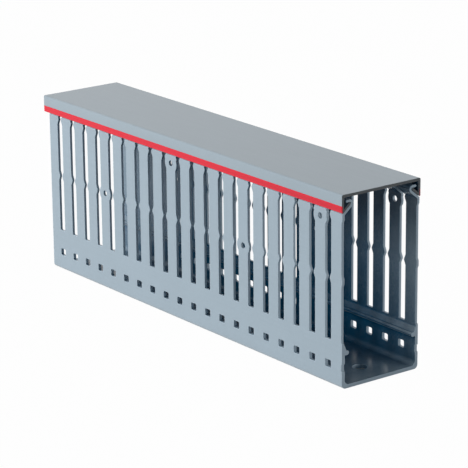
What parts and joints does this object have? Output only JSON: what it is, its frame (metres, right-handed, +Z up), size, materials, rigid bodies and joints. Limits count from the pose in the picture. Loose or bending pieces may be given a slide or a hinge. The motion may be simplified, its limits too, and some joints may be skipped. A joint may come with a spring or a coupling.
{
  "type": "slotted wire duct",
  "caption": "Short length of grey slotted wiring duct: a punched U-shaped trough with comb fingers, and a clip-on cover with a red stripe.",
  "frame": {"origin": "underside of the trough, in the middle of its width, under its middle finger", "axes": "+X along the duct, +Z up from the mounting plate to the cover, +Y across"},
  "size_m": [0.2105, 0.0404, 0.08],
  "materials": {
    "trough_pvc": "satin rigid PVC, light blue-grey",
    "cover_pvc": "satin rigid PVC, light grey",
    "stripe_pvc": "satin red PVC run into the flange"
  },
  "bodies": {
    "trough": {"trough": "trough_pvc"},
    "cover": {"cover": "cover_pvc", "cover_stripe": "stripe_pvc"}
  },
  "joints": [
    {"name": "cover_slide", "type": "slide", "parent": "trough", "child": "cover", "axis": [1, 0, 0], "range_m": [-0.207, 0.211]}
  ]
}
